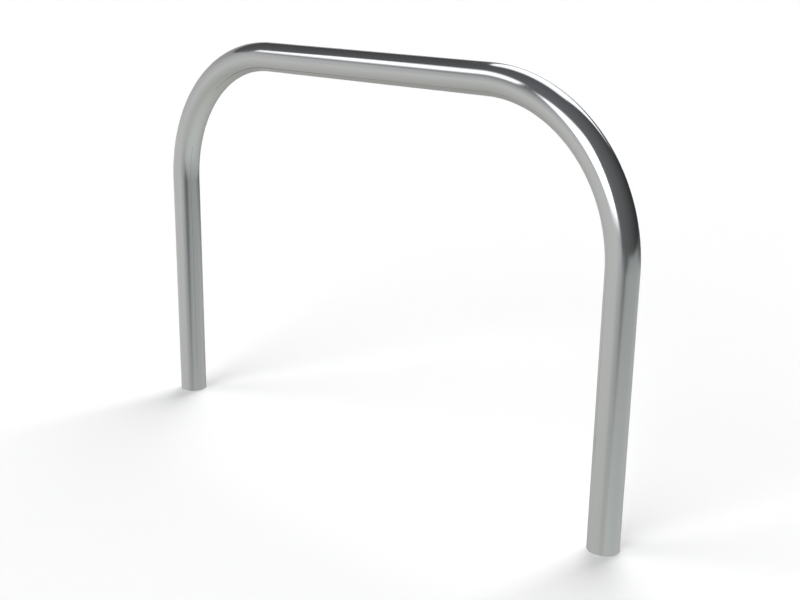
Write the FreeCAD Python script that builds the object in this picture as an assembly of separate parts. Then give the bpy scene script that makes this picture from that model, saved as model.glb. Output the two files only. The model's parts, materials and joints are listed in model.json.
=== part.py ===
import FreeCAD, Part
import math
import os

# Hoop barrier whose two legs are cast into the ground. All sizes are in millimetres.
# The hoop stands in the XZ plane. Ground level is z = 0, and the origin lies midway between the legs.

# Hoop tube
hoop_width = 1250.0             # over the outsides of the legs
hoop_height = 850.0             # from the ground to the top of the rail
tube_diameter = 60.3
tube_wall = 2.6
bend_radius = 300.0             # to the tube's centreline
root_depth = 350.0              # from the ground to the undersides of the end plugs

# Anchor bars, one through each root
bar_diameter = 12.0             # between the ribs
bar_length = 180.0
bar_end_chamfer = 1.0
bar_clearance = 0.3             # all round, from the ribs to the drilled holes
bar_above_plug = 40.0           # from the top of the plug's stem to the bar's axis
rib_height = 0.7
rib_crest = 1.4                 # width along the bar at the rib's top
rib_foot = 3.0                  # width along the bar at the rib's root
rib_pitch = 8.0

# End plugs, one in the lower end of each leg
plug_flange = 4.0               # thickness of the disc that covers the sawn end
plug_edge_chamfer = 1.0
plug_stem_length = 24.0
plug_stem_wall = 2.0
plug_stem_gap = 2.4             # from the stem to the tube's bore, bridged by the fins
fin_clearance = 0.1             # from the fins to the tube's bore
fin_land = 0.8                  # width of the band at the fin's rim
fin_foot = 3.0                  # width of the fin where it leaves the stem
fin_count = 3

# Sizes that follow from the ones above
tube_radius = tube_diameter / 2
bore_radius = tube_radius - tube_wall
leg_x = hoop_width / 2 - tube_radius
rail_z = hoop_height - tube_radius
bend_z = rail_z - bend_radius
bend_x = leg_x - bend_radius
leg_end_z = -root_depth + plug_flange
rib_radius = bar_diameter / 2 + rib_height
bar_hole_radius = rib_radius + bar_clearance
bar_z = leg_end_z + plug_stem_length + bar_above_plug
legs = {"left": -leg_x, "right": leg_x}

origin = FreeCAD.Vector(0, 0, 0)
along_y = FreeCAD.Vector(0, 1, 0)
along_z = FreeCAD.Vector(0, 0, 1)
full_turn = 360.0


def turned(outline, axis):
    """A solid of revolution about an axis through the origin."""
    face = Part.Face(Part.makePolygon(outline + outline[:1]))
    return face.revolve(origin, axis, full_turn)


def hoop_centreline():
    """The tube's centreline, from the left leg's end over the rail to the right leg's end."""
    reach = bend_radius * math.sin(math.radians(45))
    left_end = FreeCAD.Vector(-leg_x, 0, leg_end_z)
    left_bend_start = FreeCAD.Vector(-leg_x, 0, bend_z)
    left_bend_middle = FreeCAD.Vector(-bend_x - reach, 0, bend_z + reach)
    rail_start = FreeCAD.Vector(-bend_x, 0, rail_z)
    rail_end = FreeCAD.Vector(bend_x, 0, rail_z)
    right_bend_middle = FreeCAD.Vector(bend_x + reach, 0, bend_z + reach)
    right_bend_end = FreeCAD.Vector(leg_x, 0, bend_z)
    right_end = FreeCAD.Vector(leg_x, 0, leg_end_z)
    runs = [
        Part.LineSegment(left_end, left_bend_start),
        Part.Arc(left_bend_start, left_bend_middle, rail_start),
        Part.LineSegment(rail_start, rail_end),
        Part.Arc(rail_end, right_bend_middle, right_bend_end),
        Part.LineSegment(right_bend_end, right_end),
    ]
    return Part.Wire([run.toShape() for run in runs])


def swept_round(radius):
    """A round bar of the given radius along the hoop's centreline."""
    section = Part.Wire(Part.makeCircle(radius, FreeCAD.Vector(-leg_x, 0, leg_end_z), along_z))
    return hoop_centreline().makePipeShell([section], True, False)


def hoop_tube():
    """One bent tube, with a hole drilled across each root for its anchor bar."""
    tube = swept_round(tube_radius).cut(swept_round(bore_radius))
    for x in legs.values():
        hole_start = FreeCAD.Vector(x, -tube_diameter, bar_z)
        tube = tube.cut(Part.makeCylinder(bar_hole_radius, 2 * tube_diameter, hole_start, along_y))
    return tube.Solids[0]


def rib_places():
    """Where the ribs lie along the bar.

    On each side one sits in the leg's wall, and the rest step away from it.
    """
    in_wall = tube_radius - tube_wall / 2
    inward = int((in_wall - rib_pitch / 2) // rib_pitch)
    outward = int((bar_length / 2 - bar_end_chamfer - rib_foot / 2 - in_wall) // rib_pitch)
    one_side = [in_wall + step * rib_pitch for step in range(-inward, outward + 1)]
    return sorted([-place for place in one_side] + one_side)


def anchor_bar(x):
    """A ribbed bar across the root at x, square to the hoop's plane."""
    radius = bar_diameter / 2
    end = bar_length / 2
    profile = [(0, -end), (radius - bar_end_chamfer, -end), (radius, -end + bar_end_chamfer)]
    for place in rib_places():
        profile.append((radius, place - rib_foot / 2))
        profile.append((rib_radius, place - rib_crest / 2))
        profile.append((rib_radius, place + rib_crest / 2))
        profile.append((radius, place + rib_foot / 2))
    profile += [(radius, end - bar_end_chamfer), (radius - bar_end_chamfer, end), (0, end)]
    bar = turned([FreeCAD.Vector(r, y, 0) for r, y in profile], along_y)
    bar.translate(FreeCAD.Vector(x, 0, bar_z))
    return bar


def end_plug(x):
    """A push-in plug with a finned hollow stem, under the leg at x. Heights run from the leg's sawn end."""
    stem_radius = bore_radius - plug_stem_gap
    fin_radius = bore_radius - fin_clearance
    profile = [(0, -plug_flange), (tube_radius - plug_edge_chamfer, -plug_flange)]
    profile += [(tube_radius, -plug_flange + plug_edge_chamfer), (tube_radius, 0), (stem_radius, 0)]
    for fin in range(1, fin_count + 1):
        height = fin * plug_stem_length / (fin_count + 1)
        profile.append((stem_radius, height - fin_land / 2))
        profile.append((fin_radius, height - fin_land / 2))
        profile.append((fin_radius, height + fin_land / 2))
        profile.append((stem_radius, height - fin_land / 2 + fin_foot))
    profile += [(stem_radius, plug_stem_length), (stem_radius - plug_stem_wall, plug_stem_length)]
    profile += [(stem_radius - plug_stem_wall, 0), (0, 0)]
    plug = turned([FreeCAD.Vector(r, 0, z) for r, z in profile], along_z)
    plug.translate(FreeCAD.Vector(x, 0, leg_end_z))
    return plug


parts = {"hoop_tube": hoop_tube()}
for side, x in legs.items():
    parts[side + "_anchor_bar"] = anchor_bar(x)
    parts[side + "_end_plug"] = end_plug(x)

os.makedirs("parts", exist_ok=True)
for node, shape in parts.items():
    shape.exportStep(os.path.join("parts", node + ".step"))
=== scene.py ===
import json
import math
from collections import namedtuple

import bmesh
import bpy
from mathutils import Matrix, Vector


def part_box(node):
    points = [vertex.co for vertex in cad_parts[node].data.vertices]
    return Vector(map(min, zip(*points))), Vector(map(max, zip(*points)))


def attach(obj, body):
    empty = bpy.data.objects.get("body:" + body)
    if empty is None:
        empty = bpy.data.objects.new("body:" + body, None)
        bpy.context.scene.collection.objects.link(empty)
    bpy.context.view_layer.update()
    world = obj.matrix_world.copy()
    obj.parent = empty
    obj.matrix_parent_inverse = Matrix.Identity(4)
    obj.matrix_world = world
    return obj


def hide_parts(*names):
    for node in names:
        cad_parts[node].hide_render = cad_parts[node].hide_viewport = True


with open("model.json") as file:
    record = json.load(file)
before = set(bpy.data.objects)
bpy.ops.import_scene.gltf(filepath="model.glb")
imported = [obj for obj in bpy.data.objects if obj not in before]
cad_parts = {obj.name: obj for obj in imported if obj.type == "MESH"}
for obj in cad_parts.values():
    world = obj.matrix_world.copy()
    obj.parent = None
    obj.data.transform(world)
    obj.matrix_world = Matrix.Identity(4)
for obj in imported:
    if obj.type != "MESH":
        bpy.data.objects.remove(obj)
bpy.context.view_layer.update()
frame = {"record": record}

# A polished stainless-steel hoop barrier, cast into a pale floor, under soft studio light.
# Lengths are in metres and angles in degrees. The floor is ground level, z = 0.
# A run is a distance along the tube's centreline from the middle of the rail, negative to the left.

# Hoop tube, with its overall sizes from the frame and its record
MM_PER_METRE = 1000
MOUNTS = {mount["name"]: mount for mount in frame["record"]["mounts"]}
TUBE_RADIUS = MOUNTS["right_root"]["dims"]["r_mm"] / MM_PER_METRE
LEG_X = MOUNTS["right_root"]["pos_m"][0]
TUBE_LOW, TUBE_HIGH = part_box("hoop_tube")
RAIL_Z = TUBE_HIGH.z - TUBE_RADIUS
LEG_END_Z = TUBE_LOW.z
TUBE_WALL = 0.0026
BORE_RADIUS = TUBE_RADIUS - TUBE_WALL
BEND_RADIUS = 0.300
BEND_X = LEG_X - BEND_RADIUS
BEND_Z = RAIL_Z - BEND_RADIUS
RAIL_END_RUN = BEND_X
BEND_END_RUN = RAIL_END_RUN + BEND_RADIUS * math.pi / 2
TUBE_END_RUN = BEND_END_RUN + BEND_Z - LEG_END_Z

# Anchor bars and the holes across the roots that take them
BAR_LOW, BAR_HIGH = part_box("right_anchor_bar")
BAR_Z = (BAR_LOW.z + BAR_HIGH.z) / 2
RIB_RADIUS = (BAR_HIGH.z - BAR_LOW.z) / 2
RIB_HEIGHT = 0.0007
RIB_PITCH = 0.008
RIB_CREST = 0.0014
RIB_FOOT = 0.003
RIB_SLANT = 30
BAR_RADIUS = RIB_RADIUS - RIB_HEIGHT
BAR_CHAMFER = 0.001
BAR_CLEARANCE = 0.0003
HOLE_RADIUS = RIB_RADIUS + BAR_CLEARANCE
DRILL_LENGTH = 4 * TUBE_RADIUS

# End plugs. Heights run from the leg's sawn end.
PLUG_LOW, PLUG_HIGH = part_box("right_end_plug")
FLANGE = LEG_END_Z - PLUG_LOW.z
FLANGE_ROUNDING = 0.001
STEM_LENGTH = PLUG_HIGH.z - LEG_END_Z
STEM_WALL = 0.002
STEM_GAP = 0.0024
STEM_RADIUS = BORE_RADIUS - STEM_GAP
FIN_CLEARANCE = 0.0001
FIN_RADIUS = BORE_RADIUS - FIN_CLEARANCE
FIN_LAND = 0.0008
FIN_FOOT = 0.003
FIN_COUNT = 3
GATE_RADIUS = 0.0025
GATE_DEPTH = 0.0003

# How finely the pieces are meshed
AROUND = 96
LEG_STEPS = 24
BEND_STEPS = 48
RAIL_STEPS = 8
HOLE_SIDES = 48
BAR_AROUND = 72
BAR_STEP = 0.0005
ROUNDING_STEPS = 6
SHARP_ANGLE = 40

# Most of a noise's area lies between these two values
NOISE_RANGE = (0.3, 0.7)

# How many finer layers a noise has, in grain and lines, in clouds and in patches
GRAIN_DETAIL = 2
CLOUD_DETAIL = 3
PATCH_DETAIL = 4

# Polished steel. Sizes are along the tube, outwards and sideways, and pairs run from dark to light patches.
STEEL_DARK = (0.557, 0.576, 0.576, 1)
STEEL_LIGHT = (0.583, 0.602, 0.602, 1)
CLOUD_SIZE = (0.09, 0.05, 0.05)
CLOUD_ROUGHNESS = (0.085, 0.115)
LINE_SIZE = (0.0006, 0.03, 0.03)
LINE_ROUGHNESS = (-0.015, 0.015)
LINE_DEPTH = 0.0000004

# Rolled and pickled bars
BAR_DARK = (0.33, 0.32, 0.31, 1)
BAR_LIGHT = (0.48, 0.47, 0.46, 1)
BAR_RUBBED = (0.56, 0.55, 0.54, 1)
MOTTLE_SIZE = (0.003, 0.006, 0.003)
MOTTLE_ROUGHNESS = (0.55, 0.42)
RUBBED_ROUGHNESS = 0.3
RUBBED_FROM = 0.7
RUBBED_MOST = 0.6
BAR_GRAIN_SIZE = (0.0003, 0.0003, 0.0003)
BAR_GRAIN_DEPTH = 0.00003

# Moulded plugs
PLUG_DARK = (0.018, 0.018, 0.020, 1)
PLUG_LIGHT = (0.032, 0.032, 0.034, 1)
PLUG_SCUFFED = (0.07, 0.07, 0.07, 1)
SCUFF_SIZE = (0.008, 0.008, 0.008)
SCUFF_RANGE = (0.35, 0.65)
SCUFF_ROUGHNESS = (0.44, 0.56)
PLUG_GRAIN_SIZE = (0.0004, 0.0004, 0.0004)
PLUG_GRAIN_DEPTH = 0.00004

# Camera
CAMERA_PLACE = Vector((1.6133, -1.6849, 1.0295))
CAMERA_YAW = 42.172
CAMERA_PITCH = 16.294
CAMERA_ROLL = 0.906
CAMERA_LENS_MM = 53.02
SENSOR_WIDTH_MM = 36.0

# Studio: panels of light and shade that the steel mirrors, given as angles seen from the hoop.
# towards is an azimuth, from +X to +Y, and an elevation. half_size is half the width and half the height.
# soft is how far the sides, the top and the foot fade, both inwards and outwards.
# roll turns the panel in its own plane.
Panel = namedtuple("Panel", "towards half_size soft roll")

# Softboxes, with their levels as they light the floor, and as the steel mirrors them
LEFT_SOFTBOX = Panel(towards=(-136.3, 36.3), half_size=(13.7, 8.2), soft=(1.5, 7.4, 7.4), roll=7)
FRONT_SOFTBOX = Panel(towards=(-85.3, 21), half_size=(18, 16), soft=(4.4, 9.5, 9.5), roll=8.7)
BACK_SOFTBOX = Panel(towards=(110.5, 42.4), half_size=(20.6, 23), soft=(0.8, 7.3, 7.3), roll=-19.4)
SOFTBOX_LEVELS = {LEFT_SOFTBOX: (4.8, 2.24), FRONT_SOFTBOX: (6.6, 3.92), BACK_SOFTBOX: (4.65, 1.68)}

# A grey wall and a pool of light, with their tones
LEFT_WALL = Panel(towards=(-182.5, 12), half_size=(50, 12.4), soft=(6.5, 1, 12), roll=0)
WALL_GLOW = Panel(towards=(-139.5, -9), half_size=(42.5, 16.5), soft=(42.5, 28, 39), roll=7)
WALL_TONES = {LEFT_WALL: 0.445, WALL_GLOW: 0.85}

# The ground, and the share of its light that each shade takes away
GROUND_TONE = 0.515
GROUND_LEAN = (0.225, -0.005, -0.155)
BROAD_SHADE = Panel(towards=(12.5, 7.5), half_size=(69, 15), soft=(13, 32, 32), roll=5.5)
FRONT_SHADE = Panel(towards=(-49.5, -1), half_size=(40.5, 13.5), soft=(6.5, 17, 17), roll=16)
BACK_SHADE = Panel(towards=(99, -3.5), half_size=(35, 8), soft=(27, 5.5, 5.5), roll=0)
DARK_STRIP = Panel(towards=(-36, -8.5), half_size=(17, 6), soft=(17, 4.5, 4.5), roll=32.5)
SHADE_DEPTHS = {BROAD_SHADE: 0.65, FRONT_SHADE: 0.335, BACK_SHADE: 0.8, DARK_STRIP: 0.42}

# The dim room, and the nearly level line where the ground ends
ROOM_TONE = 0.108
ROOM_LEAN = (0.018, -0.068, 0.045)
HORIZON = -3.2
HORIZON_SOFTNESS = 2
HORIZON_UPRIGHT = (0.02, -0.02, 1.0)

# How red and blue change with direction
RED_LEAN = (-0.022, 0.0, 0.0)
BLUE_LEAN = (0.008, 0.0, 0.065)

# Backdrop and floor
BACKDROP_COLOUR = (1, 1, 1, 1)
BACKDROP_TONE = 1.0
FLOOR_HALF_SIZE = 60.0
FLOOR_COLOUR = (0.955, 0.96, 0.927, 1)


# Shader nodes
def add_node(tree, kind, **settings):
    """A new node of the given kind, with its properties set."""
    node = tree.nodes.new(kind)
    for name, value in settings.items():
        setattr(node, name, value)
    return node


def feed(tree, socket, source):
    """Gives a socket its source: another node's output, or a plain value."""
    if isinstance(source, bpy.types.NodeSocket):
        tree.links.new(source, socket)
    else:
        socket.default_value = source


def calculate(tree, operation, first, second=0.0):
    """The result of a sum on two numbers."""
    node = add_node(tree, "ShaderNodeMath", operation=operation)
    feed(tree, node.inputs[0], first)
    feed(tree, node.inputs[1], second)
    return node.outputs["Value"]


def mix_numbers(tree, share, first, second):
    """The first number where the share is 0, and the second where it is 1."""
    node = add_node(tree, "ShaderNodeMix", data_type="FLOAT")
    feed(tree, node.inputs["Factor"], share)
    feed(tree, node.inputs["A"], first)
    feed(tree, node.inputs["B"], second)
    return node.outputs["Result"]


def mix_colours(tree, share, first, second):
    """The first colour where the share is 0, and the second where it is 1."""
    node = add_node(tree, "ShaderNodeMix", data_type="RGBA")
    colours = [socket for socket in node.inputs if socket.type == "RGBA"]
    feed(tree, node.inputs["Factor"], share)
    feed(tree, colours[0], first)
    feed(tree, colours[1], second)
    return [socket for socket in node.outputs if socket.type == "RGBA"][0]


def fade(tree, value, start, end, low=0.0, high=1.0):
    """Goes smoothly from low to high as the value goes from start to end."""
    node = add_node(tree, "ShaderNodeMapRange", interpolation_type="SMOOTHSTEP")
    sources = {"Value": value, "From Min": start, "From Max": end, "To Min": low, "To Max": high}
    for name, source in sources.items():
        feed(tree, node.inputs[name], source)
    return node.outputs["Result"]


def reach_along(tree, direction, axis):
    """How far a direction reaches along an axis."""
    node = add_node(tree, "ShaderNodeVectorMath", operation="DOT_PRODUCT")
    feed(tree, node.inputs[0], direction)
    feed(tree, node.inputs[1], axis)
    return node.outputs["Value"]


def lean(tree, direction, tone, slope):
    """A tone that changes evenly with direction."""
    return calculate(tree, "ADD", reach_along(tree, direction, slope), tone)


def noise(tree, place, size, detail):
    """Noise about 0.5 whose patches have the given size along each axis."""
    scaled = add_node(tree, "ShaderNodeVectorMath", operation="DIVIDE")
    feed(tree, scaled.inputs[0], place)
    feed(tree, scaled.inputs[1], size)
    node = add_node(tree, "ShaderNodeTexNoise")
    feed(tree, node.inputs["Vector"], scaled.outputs["Vector"])
    feed(tree, node.inputs["Scale"], 1.0)
    feed(tree, node.inputs["Detail"], detail)
    return node.outputs["Fac"]


def bump(tree, shader, height, depth):
    """Raises the surface by the height times the depth in metres."""
    node = add_node(tree, "ShaderNodeBump")
    feed(tree, node.inputs["Height"], height)
    feed(tree, node.inputs["Distance"], depth)
    feed(tree, shader.inputs["Normal"], node.outputs["Normal"])


# Materials
def new_material(name):
    """A new material and its shader."""
    material = bpy.data.materials.new(name)
    material.use_nodes = True
    return material, material.node_tree.nodes["Principled BSDF"]


def polished_stainless():
    """Near-mirror steel, with faint cloudy patches and fine polishing lines round the tube."""
    material, shader = new_material("polished_stainless")
    tree = material.node_tree
    place = add_node(tree, "ShaderNodeAttribute", attribute_name="tube_place").outputs["Vector"]
    clouds = noise(tree, place, CLOUD_SIZE, CLOUD_DETAIL)
    lines = noise(tree, place, LINE_SIZE, GRAIN_DETAIL)
    feed(tree, shader.inputs["Base Color"], mix_colours(tree, clouds, STEEL_DARK, STEEL_LIGHT))
    patchy = fade(tree, clouds, *NOISE_RANGE, *CLOUD_ROUGHNESS)
    streaky = fade(tree, lines, *NOISE_RANGE, *LINE_ROUGHNESS)
    feed(tree, shader.inputs["Roughness"], calculate(tree, "ADD", patchy, streaky))
    shader.inputs["Metallic"].default_value = 1.0
    bump(tree, shader, lines, LINE_DEPTH)
    return material


def ribbed_bar():
    """Rolled and pickled stainless bar: dull and mottled, with brighter rib crests."""
    material, shader = new_material("ribbed_bar")
    tree = material.node_tree
    place = add_node(tree, "ShaderNodeTexCoord").outputs["Object"]
    crests = add_node(tree, "ShaderNodeAttribute", attribute_name="rib_share").outputs["Fac"]
    mottle = fade(tree, noise(tree, place, MOTTLE_SIZE, PATCH_DETAIL), *NOISE_RANGE)
    grain = noise(tree, place, BAR_GRAIN_SIZE, GRAIN_DETAIL)
    pickled = mix_colours(tree, mottle, BAR_DARK, BAR_LIGHT)
    rubbed = fade(tree, crests, RUBBED_FROM, 1.0, 0.0, RUBBED_MOST)
    feed(tree, shader.inputs["Base Color"], mix_colours(tree, rubbed, pickled, BAR_RUBBED))
    dull = mix_numbers(tree, mottle, *MOTTLE_ROUGHNESS)
    feed(tree, shader.inputs["Roughness"], mix_numbers(tree, rubbed, dull, RUBBED_ROUGHNESS))
    shader.inputs["Metallic"].default_value = 1.0
    bump(tree, shader, grain, BAR_GRAIN_DEPTH)
    return material


def plug_plastic():
    """Black moulded polyethylene: a fine matt grain, with paler scuffs round the rim."""
    material, shader = new_material("plug_plastic")
    tree = material.node_tree
    place = add_node(tree, "ShaderNodeTexCoord").outputs["Object"]
    rim = add_node(tree, "ShaderNodeAttribute", attribute_name="rim_share").outputs["Fac"]
    grain = noise(tree, place, PLUG_GRAIN_SIZE, GRAIN_DETAIL)
    patches = fade(tree, noise(tree, place, SCUFF_SIZE, PATCH_DETAIL), *SCUFF_RANGE)
    scuffs = calculate(tree, "MULTIPLY", rim, patches)
    moulded = mix_colours(tree, grain, PLUG_DARK, PLUG_LIGHT)
    feed(tree, shader.inputs["Base Color"], mix_colours(tree, scuffs, moulded, PLUG_SCUFFED))
    feed(tree, shader.inputs["Roughness"], mix_numbers(tree, patches, *SCUFF_ROUGHNESS))
    bump(tree, shader, grain, PLUG_GRAIN_DEPTH)
    return material


# Mesh building
def join_rings(mesh, ring, following):
    """A band of faces between two rings."""
    for here in range(len(ring)):
        there = (here + 1) % len(ring)
        mesh.faces.new((ring[here], ring[there], following[there], following[here]))


def join_all(mesh, rings):
    """Bands of faces from the first ring to the last."""
    for ring, following in zip(rings, rings[1:]):
        join_rings(mesh, ring, following)


def close_ends(mesh, rings):
    """Flat faces over the first ring and the last."""
    for end in (0, -1):
        mesh.faces.new(rings[end])


def finished_mesh(name, mesh):
    """Turns a bmesh into a mesh whose faces look outwards."""
    bmesh.ops.recalc_face_normals(mesh, faces=mesh.faces)
    made = bpy.data.meshes.new(name)
    mesh.to_mesh(made)
    mesh.free()
    return made


def smooth(mesh):
    """Smooth shading, with crisp edges where faces meet at a sharp angle."""
    mesh.shade_smooth()
    mesh.set_sharp_from_angle(angle=math.radians(SHARP_ANGLE))


def add_object(name, mesh):
    """A new object in the scene."""
    made = bpy.data.objects.new(name, mesh)
    bpy.context.scene.collection.objects.link(made)
    return made


def add_piece(name, mesh, node, material):
    """A piece that stands for a node of the frame, with its material."""
    piece = add_object(name, mesh)
    mesh.materials.append(material)
    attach(piece, "root")
    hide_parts(node)


# Hoop tube
def centre_and_outward(run):
    """The tube's centre at a run, and the way outwards there in the hoop's plane."""
    side = math.copysign(1, run)
    length = abs(run)
    if length <= RAIL_END_RUN:
        return Vector((run, 0, RAIL_Z)), Vector((0, 0, 1))
    if length >= BEND_END_RUN:
        return Vector((side * LEG_X, 0, BEND_Z - (length - BEND_END_RUN))), Vector((side, 0, 0))
    turn = (length - RAIL_END_RUN) / BEND_RADIUS
    outward = Vector((side * math.sin(turn), 0, math.cos(turn)))
    return Vector((side * BEND_X, 0, BEND_Z)) + BEND_RADIUS * outward, outward


def run_at(point):
    """The run at which a point of the tube lies."""
    side = math.copysign(1, point.x)
    beyond_rail = abs(point.x) - BEND_X
    if point.z <= BEND_Z:
        return side * (BEND_END_RUN + BEND_Z - point.z)
    if beyond_rail <= 0:
        return point.x
    return side * (RAIL_END_RUN + BEND_RADIUS * math.atan2(beyond_rail, point.z - BEND_Z))


def spaced(start, end, steps):
    """Evenly spaced runs from the start up to, but without, the end."""
    return [start + (end - start) * step / steps for step in range(steps)]


def tube_runs():
    """The runs of the mesh's rings, from the left leg's end to the right leg's end."""
    half = spaced(0, RAIL_END_RUN, RAIL_STEPS)
    half += spaced(RAIL_END_RUN, BEND_END_RUN, BEND_STEPS)
    half += spaced(BEND_END_RUN, TUBE_END_RUN, LEG_STEPS)
    half.append(TUBE_END_RUN)
    return [-run for run in reversed(half)] + half[1:]


def add_rings(mesh, radius):
    """A ring of vertices of the given radius at each run."""
    rings = []
    for run in tube_runs():
        centre, outward = centre_and_outward(run)
        ring = []
        for step in range(AROUND):
            turn = 2 * math.pi * step / AROUND
            offset = math.cos(turn) * outward + math.sin(turn) * Vector((0, 1, 0))
            ring.append(mesh.verts.new(centre + radius * offset))
        rings.append(ring)
    return rings


def undrilled_tube():
    """The bent tube as one closed skin: its outside, its bore and the two sawn ends."""
    mesh = bmesh.new()
    outside = add_rings(mesh, TUBE_RADIUS)
    bore = add_rings(mesh, BORE_RADIUS)
    join_all(mesh, outside)
    join_all(mesh, bore)
    for end in (0, -1):
        join_rings(mesh, outside[end], bore[end])
    return finished_mesh("undrilled_tube", mesh)


def drills():
    """Two round bars, larger than the anchor bars by the clearance, to drill the roots with."""
    mesh = bmesh.new()
    for x in (-LEG_X, LEG_X):
        bmesh.ops.create_cone(
            mesh,
            cap_ends=True,
            segments=HOLE_SIDES,
            radius1=HOLE_RADIUS,
            radius2=HOLE_RADIUS,
            depth=DRILL_LENGTH,
            matrix=Matrix.Translation((x, 0, BAR_Z)) @ Matrix.Rotation(math.radians(90), 4, "X"),
        )
    return finished_mesh("drills", mesh)


def drilled_tube():
    """The tube with the holes cut across its roots."""
    tube = add_object("tube", undrilled_tube())
    cutter = add_object("drills", drills())
    cut = tube.modifiers.new("holes", "BOOLEAN")
    cut.operation = "DIFFERENCE"
    cut.solver = "EXACT"
    cut.object = cutter
    cut_tube = tube.evaluated_get(bpy.context.evaluated_depsgraph_get())
    mesh = bpy.data.meshes.new_from_object(cut_tube)
    mesh.name = "hoop"
    bpy.data.objects.remove(tube)
    bpy.data.objects.remove(cutter)
    return mesh


def mark_places(mesh):
    """Keeps each vertex's run and its offset from the centreline, for the polish to follow."""
    places = mesh.attributes.new("tube_place", "FLOAT_VECTOR", "POINT")
    for vertex, place in zip(mesh.vertices, places.data):
        run = run_at(vertex.co)
        centre, outward = centre_and_outward(run)
        offset = vertex.co - centre
        place.vector = (run, offset.dot(outward), offset.y)


def smooth_skin(mesh):
    """Smooth shading, with the true round normals on the tube's skin and crisp edges elsewhere."""
    smooth(mesh)
    normals = []
    for face in mesh.polygons:
        for corner in face.vertices:
            point = mesh.vertices[corner].co
            across = (point - centre_and_outward(run_at(point))[0]).normalized()
            facing = face.normal.dot(across)
            on_skin = abs(facing) > math.cos(math.radians(SHARP_ANGLE))
            normals.append(math.copysign(1, facing) * across if on_skin else Vector((0, 0, 0)))
    mesh.normals_split_custom_set(normals)


def hoop_mesh():
    """The hoop, drilled and ready for its polish."""
    mesh = drilled_tube()
    mark_places(mesh)
    smooth_skin(mesh)
    return mesh


# Anchor bars
def rib_share(turn, along):
    """How far a rib stands up at a place on the bar, from 0 to 1.

    The ribs are crescents in two rows that slant opposite ways.
    """
    row = int(turn // math.pi)
    across = turn - row * math.pi
    slant = BAR_RADIUS * (across - math.pi / 2) * math.tan(math.radians(RIB_SLANT))
    shifted = along + (-1) ** row * slant
    off = abs(shifted - RIB_PITCH * round(shifted / RIB_PITCH))
    flank = (RIB_FOOT - RIB_CREST) / 2
    height = (RIB_FOOT / 2 - off) / flank
    return math.sin(across) * min(max(height, 0), 1)


def bar_rings(mesh, x, share_layer):
    """Rings along a bar at x, from one chamfered end to the other."""
    plain = BAR_HIGH.y - BAR_CHAMFER
    steps = round(2 * plain / BAR_STEP)
    rows = [-plain + 2 * plain * step / steps for step in range(steps + 1)]
    rings = []
    for along in [BAR_LOW.y] + rows + [BAR_HIGH.y]:
        ring = []
        for step in range(BAR_AROUND):
            turn = 2 * math.pi * step / BAR_AROUND
            ribbed = abs(along) < plain - RIB_FOOT / 2
            share = rib_share(turn, along) if ribbed else 0
            radius = BAR_RADIUS + RIB_HEIGHT * share - (BAR_CHAMFER if abs(along) > plain else 0)
            vertex = mesh.verts.new((x + radius * math.cos(turn), along, BAR_Z + radius * math.sin(turn)))
            vertex[share_layer] = share
            ring.append(vertex)
        rings.append(ring)
    return rings


def bar_mesh(x):
    """A ribbed bar across the root at x."""
    mesh = bmesh.new()
    rings = bar_rings(mesh, x, mesh.verts.layers.float.new("rib_share"))
    join_all(mesh, rings)
    close_ends(mesh, rings)
    made = finished_mesh("anchor_bar", mesh)
    smooth(made)
    return made


# End plugs
def plug_profile():
    """The plug's half section as radius and height, from the gate mark to the floor of its hollow stem."""
    profile = [(GATE_RADIUS, GATE_DEPTH - FLANGE), (GATE_RADIUS, -FLANGE)]
    for step in range(ROUNDING_STEPS + 1):
        turn = math.pi / 2 * step / ROUNDING_STEPS
        radius = TUBE_RADIUS - FLANGE_ROUNDING * (1 - math.sin(turn))
        profile.append((radius, -FLANGE + FLANGE_ROUNDING * (1 - math.cos(turn))))
    profile += [(TUBE_RADIUS, 0), (STEM_RADIUS, 0)]
    for fin in range(1, FIN_COUNT + 1):
        foot = fin * STEM_LENGTH / (FIN_COUNT + 1) - FIN_LAND / 2
        profile += [(STEM_RADIUS, foot), (FIN_RADIUS, foot), (FIN_RADIUS, foot + FIN_LAND)]
        profile.append((STEM_RADIUS, foot + FIN_FOOT))
    profile += [(STEM_RADIUS, STEM_LENGTH), (STEM_RADIUS - STEM_WALL, STEM_LENGTH)]
    profile.append((STEM_RADIUS - STEM_WALL, 0))
    return profile


def plug_mesh(x):
    """A moulded plug in the lower end of the leg at x."""
    mesh = bmesh.new()
    rim_layer = mesh.verts.layers.float.new("rim_share")
    rings = []
    for radius, height in plug_profile():
        ring = []
        for step in range(AROUND):
            turn = 2 * math.pi * step / AROUND
            place = (x + radius * math.cos(turn), radius * math.sin(turn), LEG_END_Z + height)
            vertex = mesh.verts.new(place)
            vertex[rim_layer] = 1 if radius > TUBE_RADIUS - FLANGE_ROUNDING else 0
            ring.append(vertex)
        rings.append(ring)
    join_all(mesh, rings)
    close_ends(mesh, rings)
    made = finished_mesh("end_plug", mesh)
    smooth(made)
    return made


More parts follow.
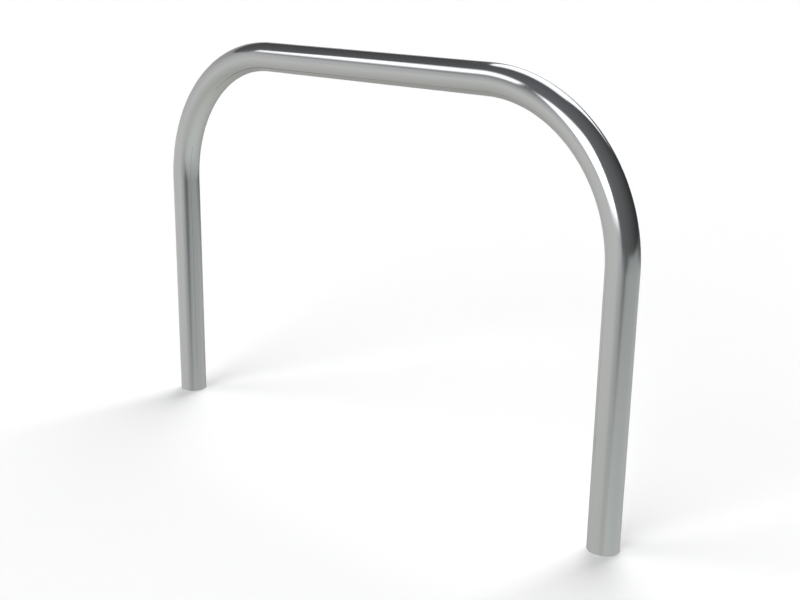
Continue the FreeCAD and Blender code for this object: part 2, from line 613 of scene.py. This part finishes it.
# Studio
def panel_share(tree, direction, panel):
    """How much of a soft-edged rectangular panel is met in a direction, from 0 to 1."""
    azimuth, elevation = panel.towards
    half_width, half_height = panel.half_size
    turned = add_node(tree, "ShaderNodeMapping", vector_type="TEXTURE")
    feed(tree, turned.inputs["Vector"], direction)
    turns = (panel.roll, -elevation, azimuth)
    feed(tree, turned.inputs["Rotation"], [math.radians(turn) for turn in turns])
    split = add_node(tree, "ShaderNodeSeparateXYZ")
    feed(tree, split.inputs["Vector"], turned.outputs["Vector"])
    ahead = split.outputs["X"]
    sideways = calculate(tree, "DIVIDE", split.outputs["Y"], ahead)
    upwards = calculate(tree, "DIVIDE", split.outputs["Z"], ahead)
    downwards = calculate(tree, "MULTIPLY", upwards, -1.0)
    slopes = (calculate(tree, "ABSOLUTE", sideways), upwards, downwards)
    share = calculate(tree, "GREATER_THAN", ahead)
    for slope, half, soft in zip(slopes, (half_width, half_height, half_height), panel.soft):
        outer = math.tan(math.radians(half + soft))
        inner = math.tan(math.radians(half - soft))
        share = calculate(tree, "MULTIPLY", share, fade(tree, slope, outer, inner))
    return share


def above_horizon(tree, direction):
    """0 where a direction meets the ground, and 1 where it meets the room."""
    low = math.sin(math.radians(HORIZON - HORIZON_SOFTNESS))
    high = math.sin(math.radians(HORIZON + HORIZON_SOFTNESS))
    return fade(tree, reach_along(tree, direction, HORIZON_UPRIGHT), low, high)


def unlit_studio(tree, direction):
    """The studio's brightness without its softboxes: a dim room, a shaded ground and a lit wall."""
    ground = lean(tree, direction, GROUND_TONE, GROUND_LEAN)
    for panel, depth in SHADE_DEPTHS.items():
        shade = calculate(tree, "MULTIPLY", panel_share(tree, direction, panel), depth)
        ground = mix_numbers(tree, shade, ground, 0.0)
    room = lean(tree, direction, ROOM_TONE, ROOM_LEAN)
    light = mix_numbers(tree, above_horizon(tree, direction), ground, room)
    for panel, tone in WALL_TONES.items():
        brighter = calculate(tree, "MAXIMUM", light, tone)
        light = mix_numbers(tree, panel_share(tree, direction, panel), light, brighter)
    return light


def studio_light(tree, direction):
    """The studio's brightness in each direction, with its softboxes."""
    light = unlit_studio(tree, direction)
    mirrored = add_node(tree, "ShaderNodeLightPath").outputs["Is Glossy Ray"]
    for panel, (as_lamp, as_mirrored) in SOFTBOX_LEVELS.items():
        level = mix_numbers(tree, mirrored, as_lamp, as_mirrored)
        light = mix_numbers(tree, panel_share(tree, direction, panel), light, level)
    return light


def studio_tint(tree, direction):
    """The studio's tint: a little redder on the left, and bluer overhead."""
    tint = add_node(tree, "ShaderNodeCombineColor")
    feed(tree, tint.inputs["Red"], lean(tree, direction, 1.0, RED_LEAN))
    feed(tree, tint.inputs["Green"], 1.0)
    feed(tree, tint.inputs["Blue"], lean(tree, direction, 1.0, BLUE_LEAN))
    return tint.outputs["Color"]


def add_studio():
    """Lights the scene from all round. The camera sees a white backdrop in its place."""
    world = bpy.data.worlds.new("studio")
    world.use_nodes = True
    tree = world.node_tree
    direction = add_node(tree, "ShaderNodeTexCoord").outputs["Generated"]
    studio = tree.nodes["Background"]
    feed(tree, studio.inputs["Color"], studio_tint(tree, direction))
    feed(tree, studio.inputs["Strength"], studio_light(tree, direction))
    backdrop = add_node(tree, "ShaderNodeBackground")
    backdrop.inputs["Color"].default_value = BACKDROP_COLOUR
    backdrop.inputs["Strength"].default_value = BACKDROP_TONE
    choice = add_node(tree, "ShaderNodeMixShader")
    feed(tree, choice.inputs[0], add_node(tree, "ShaderNodeLightPath").outputs["Is Camera Ray"])
    feed(tree, choice.inputs[1], studio.outputs["Background"])
    feed(tree, choice.inputs[2], backdrop.outputs["Background"])
    feed(tree, tree.nodes["World Output"].inputs["Surface"], choice.outputs["Shader"])
    bpy.context.scene.world = world
    bpy.context.scene.view_settings.view_transform = "Standard"


def add_floor():
    """A pale matt floor at ground level. The steel mirrors the studio's ground tone in its place."""
    mesh = bmesh.new()
    bmesh.ops.create_grid(mesh, size=FLOOR_HALF_SIZE)
    floor = add_object("floor", finished_mesh("floor", mesh))
    material, shader = new_material("pale_floor")
    shader.inputs["Base Color"].default_value = FLOOR_COLOUR
    shader.inputs["Roughness"].default_value = 1.0
    shader.inputs["Specular IOR Level"].default_value = 0.0
    floor.data.materials.append(material)
    floor.visible_glossy = False


def add_camera():
    """The camera at the photograph's viewing angle."""
    camera = add_object("camera", bpy.data.cameras.new("camera"))
    camera.data.sensor_width = SENSOR_WIDTH_MM
    camera.data.lens = CAMERA_LENS_MM
    camera.matrix_world = (
        Matrix.Translation(CAMERA_PLACE)
        @ Matrix.Rotation(math.radians(CAMERA_YAW), 4, "Z")
        @ Matrix.Rotation(math.radians(90 - CAMERA_PITCH), 4, "X")
        @ Matrix.Rotation(math.radians(CAMERA_ROLL), 4, "Z")
    )
    bpy.context.scene.camera = camera


add_piece("hoop", hoop_mesh(), "hoop_tube", polished_stainless())
bar_material = ribbed_bar()
plug_material = plug_plastic()
for side, x in {"left": -LEG_X, "right": LEG_X}.items():
    add_piece(side + "_bar", bar_mesh(x), side + "_anchor_bar", bar_material)
    add_piece(side + "_plug", plug_mesh(x), side + "_end_plug", plug_material)
add_floor()
add_studio()
add_camera()
